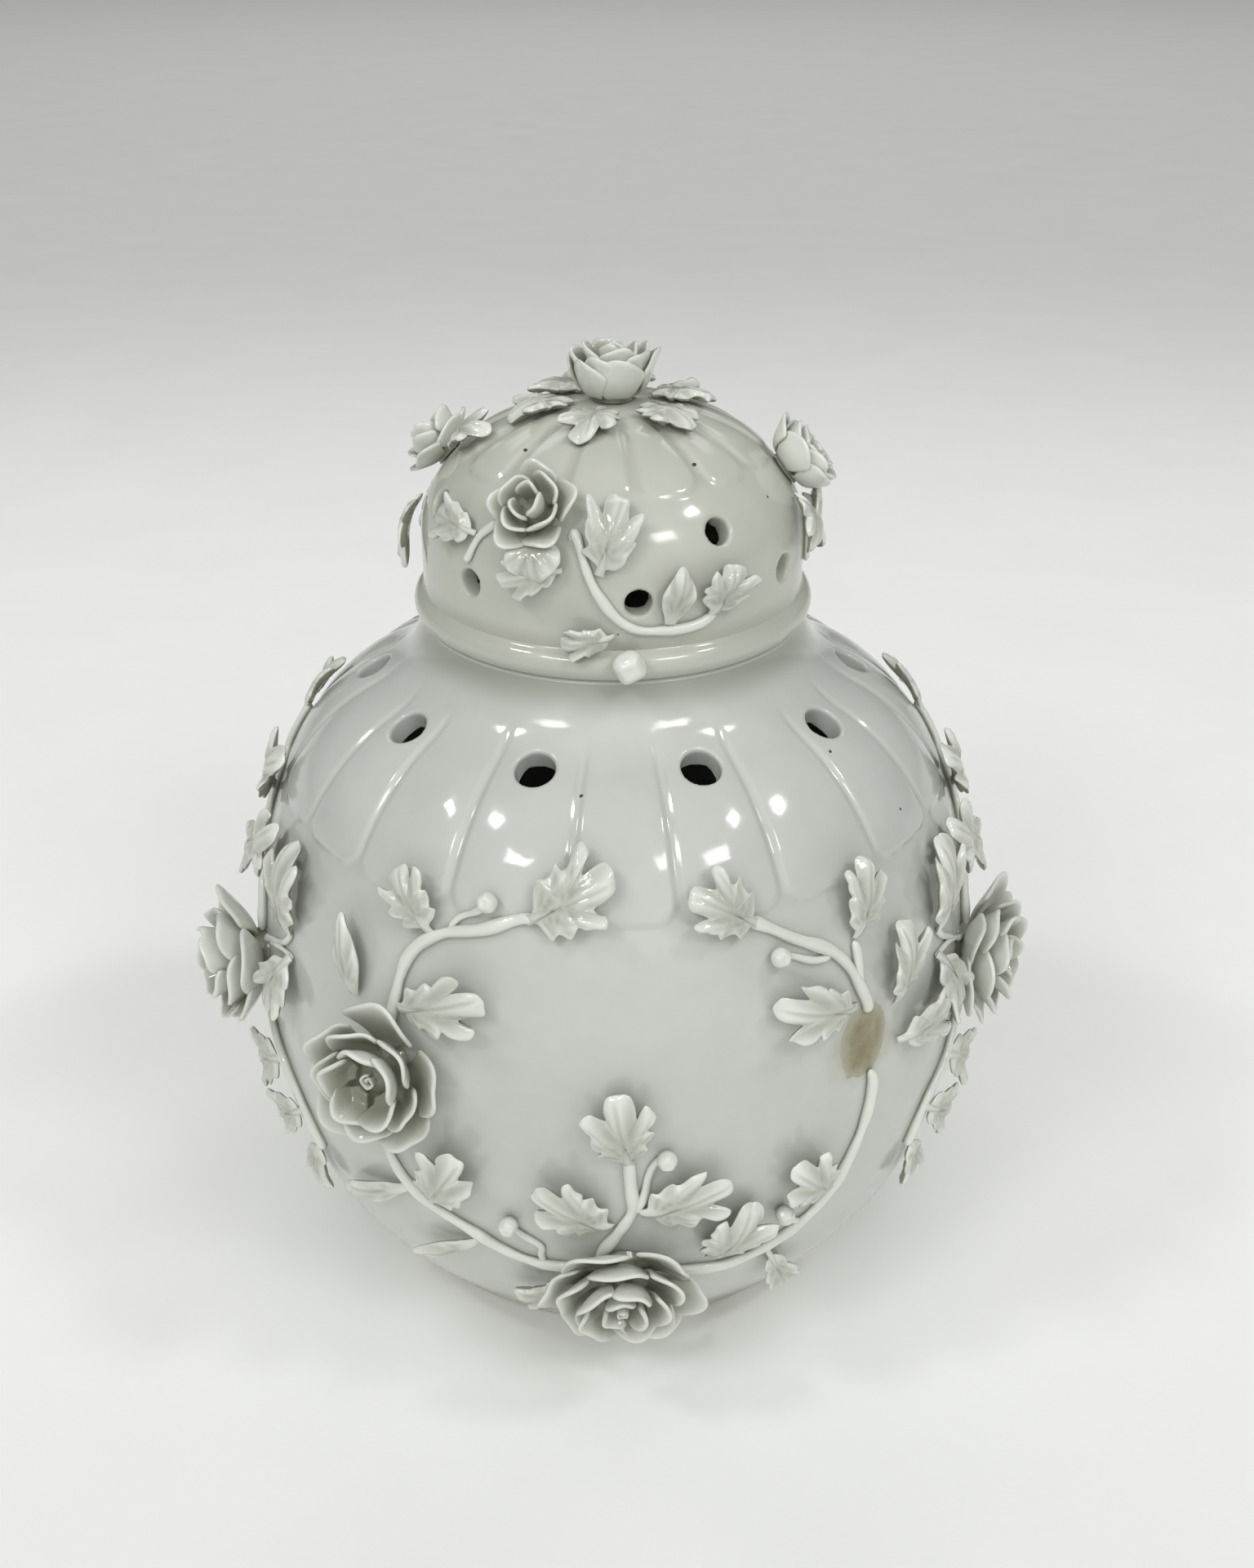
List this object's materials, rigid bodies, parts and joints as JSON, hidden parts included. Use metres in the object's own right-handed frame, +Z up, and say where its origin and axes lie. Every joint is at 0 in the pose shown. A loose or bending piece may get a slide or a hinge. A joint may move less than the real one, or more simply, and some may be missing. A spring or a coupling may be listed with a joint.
{
  "type": "potpourri vase",
  "caption": "Round porcelain potpourri vase with a pierced shoulder, a lift-off pierced domed cover with a rose knob, and applied roses, stems and leaves.",
  "frame": {"origin": "on the table plane under the centre of the foot ring, on the axis of the vase", "axes": "+Z up along the axis of the vase, -Y towards the front with the garland, +X to the viewer's right"},
  "size_m": [0.2082, 0.2066, 0.2322],
  "materials": {
    "glaze": "clear glossy glaze over white porcelain",
    "foot": "unglazed bearing edge, smooth biscuit",
    "roses": "hand-modelled porcelain petals under clear glaze",
    "leaves": "pressed porcelain leaves under clear glaze",
    "stems": "rolled porcelain stems under clear glaze",
    "buds": "rolled porcelain buds under clear glaze",
    "scar": "bare broken porcelain, stained brown"
  },
  "bodies": {
    "vase": {"vase_floor": "glaze", "vase_bowl": "glaze", "vase_belly": "glaze", "vase_shoulder": "glaze", "foot_ring": "foot", "rose_scar": "scar", "rose_front_left": "roses", "rose_front_low": "roses", "rose_side_left": "roses", "rose_side_right": "roses", "rose_back_left": "roses", "rose_back_right": "roses", "rose_back_low": "roses", "front_left_branch": "stems", "front_left_branch_leaves": "leaves", "front_left_garland": "stems", "front_left_garland_leaves": "leaves", "front_sprig": "stems", "front_sprig_leaves": "leaves", "front_right_garland": "stems", "front_right_garland_leaves": "leaves", "front_right_branch": "stems", "front_right_branch_leaves": "leaves", "front_buds": "buds", "back_left_branch": "stems", "back_left_branch_leaves": "leaves", "back_left_garland": "stems", "back_left_garland_leaves": "leaves", "back_sprig": "stems", "back_sprig_leaves": "leaves", "back_right_garland": "stems", "back_right_garland_leaves": "leaves", "back_right_branch": "stems", "back_right_branch_leaves": "leaves", "back_buds": "buds", "side_left_stems": "stems", "side_left_leaves": "leaves", "side_right_stems": "stems", "side_right_leaves": "leaves"},
    "cover": {"lid_collar": "glaze", "lid_dome": "glaze", "lid_flange": "glaze", "knob_rose": "roses", "knob_leaves": "leaves", "lid_rose_front": "roses", "lid_rose_left": "roses", "lid_rose_right": "roses", "lid_rose_back": "roses", "lid_front_stems": "stems", "lid_front_leaves": "leaves", "lid_left_stems": "stems", "lid_left_leaves": "leaves", "lid_right_stems": "stems", "lid_right_leaves": "leaves", "lid_back_stems": "stems", "lid_back_leaves": "leaves", "lid_bud": "buds"}
  },
  "joints": [
    {"name": "cover_lift", "type": "slide", "parent": "vase", "child": "cover", "axis": [0, 0, 1], "range_m": [0, 0.09]}
  ]
}
